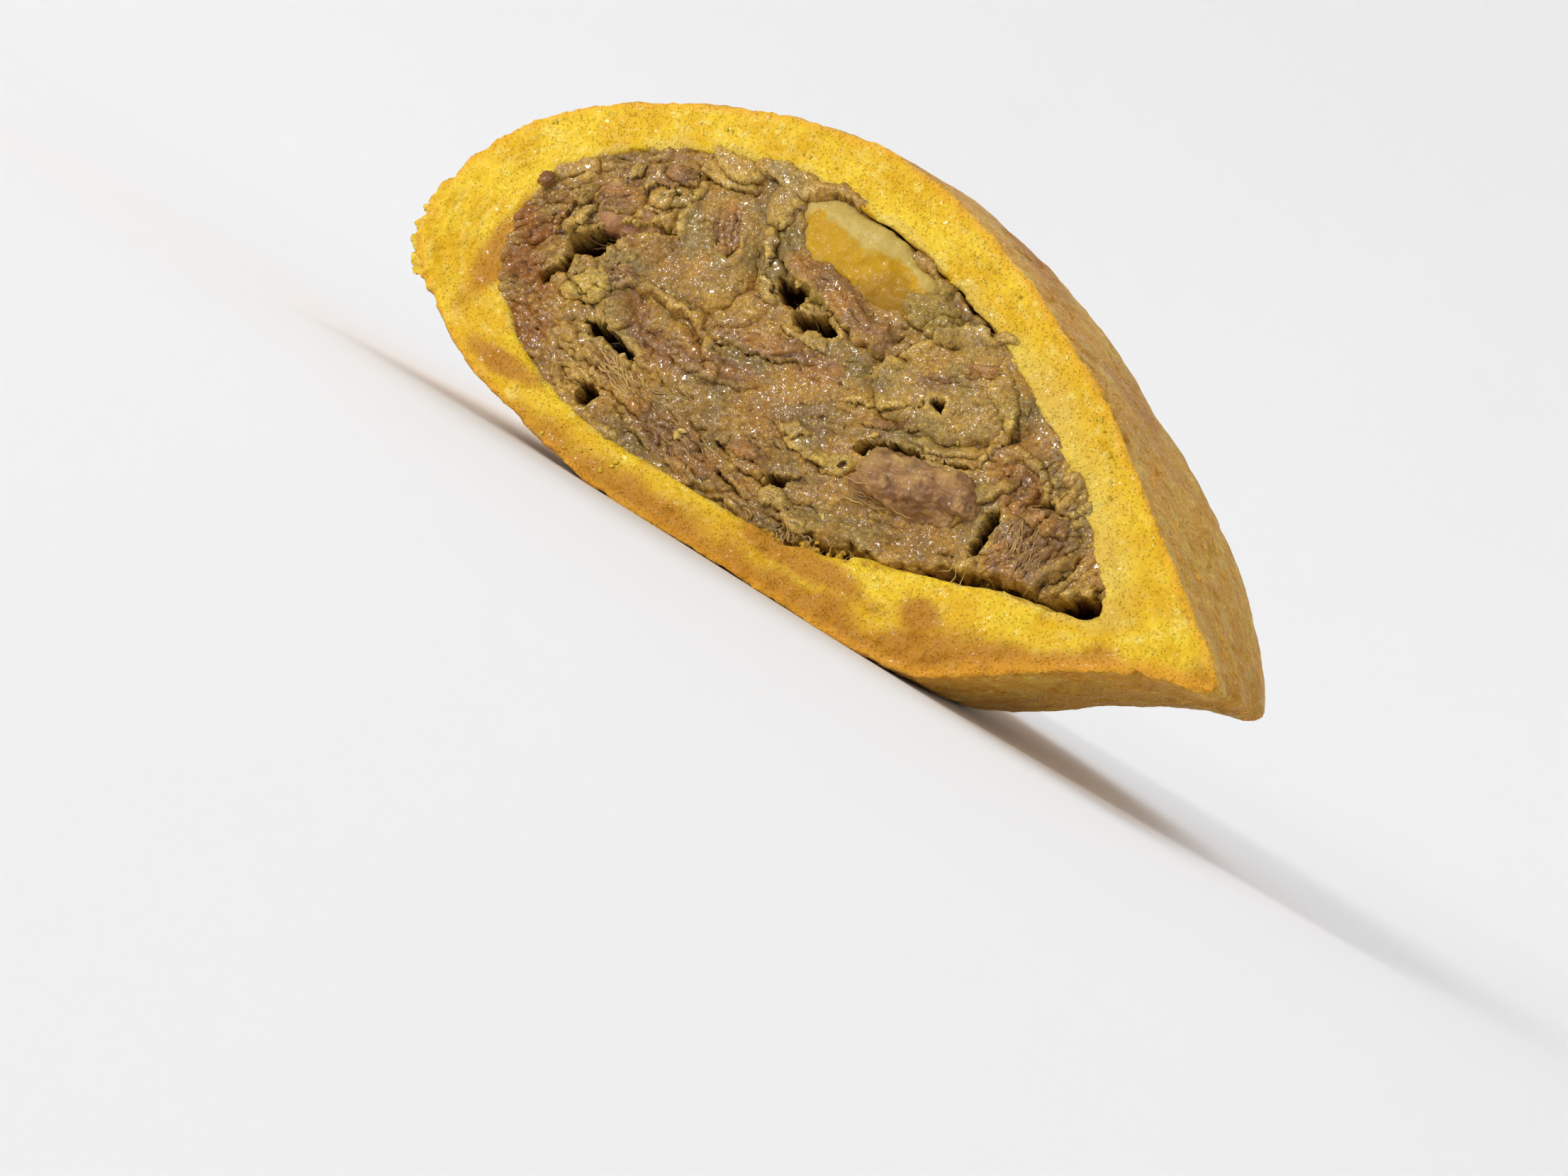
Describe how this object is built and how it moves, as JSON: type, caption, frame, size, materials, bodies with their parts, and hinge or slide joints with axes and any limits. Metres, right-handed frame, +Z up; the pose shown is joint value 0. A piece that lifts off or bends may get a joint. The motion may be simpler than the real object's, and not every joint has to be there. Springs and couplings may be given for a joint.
{
  "type": "halved empanada",
  "caption": "Half of a fried corn-dough empanada, cut across its middle, with a meat and potato filling showing at the cut and a scalloped, pinched seam.",
  "frame": {"origin": "centre of the footprint's bounding box, on the surface the half rests on", "axes": "+Z up; the cut face looks towards -Y and slightly up, the folded edge is at -X, and the pinched seam runs from +X round to the tip at +Y"},
  "size_m": [0.0732, 0.072, 0.0322],
  "materials": {
    "fried_dough": "Fried yellow corn dough: fine crumb on the cut, orange-brown skin with small pits and cracks outside.",
    "meat_filling": "Moist, torn mash of shredded meat and potato, olive-brown, with small wet glints.",
    "potato": "Boiled potato, yellow turning olive-green, moist.",
    "meat": "Stewed meat with fibres along it, brown."
  },
  "bodies": {
    "root": {"crust": "fried_dough", "filling": "meat_filling", "potato_wedge": "potato", "meat_chunk_right": "meat", "meat_chunk_left": "meat"}
  },
  "joints": []
}
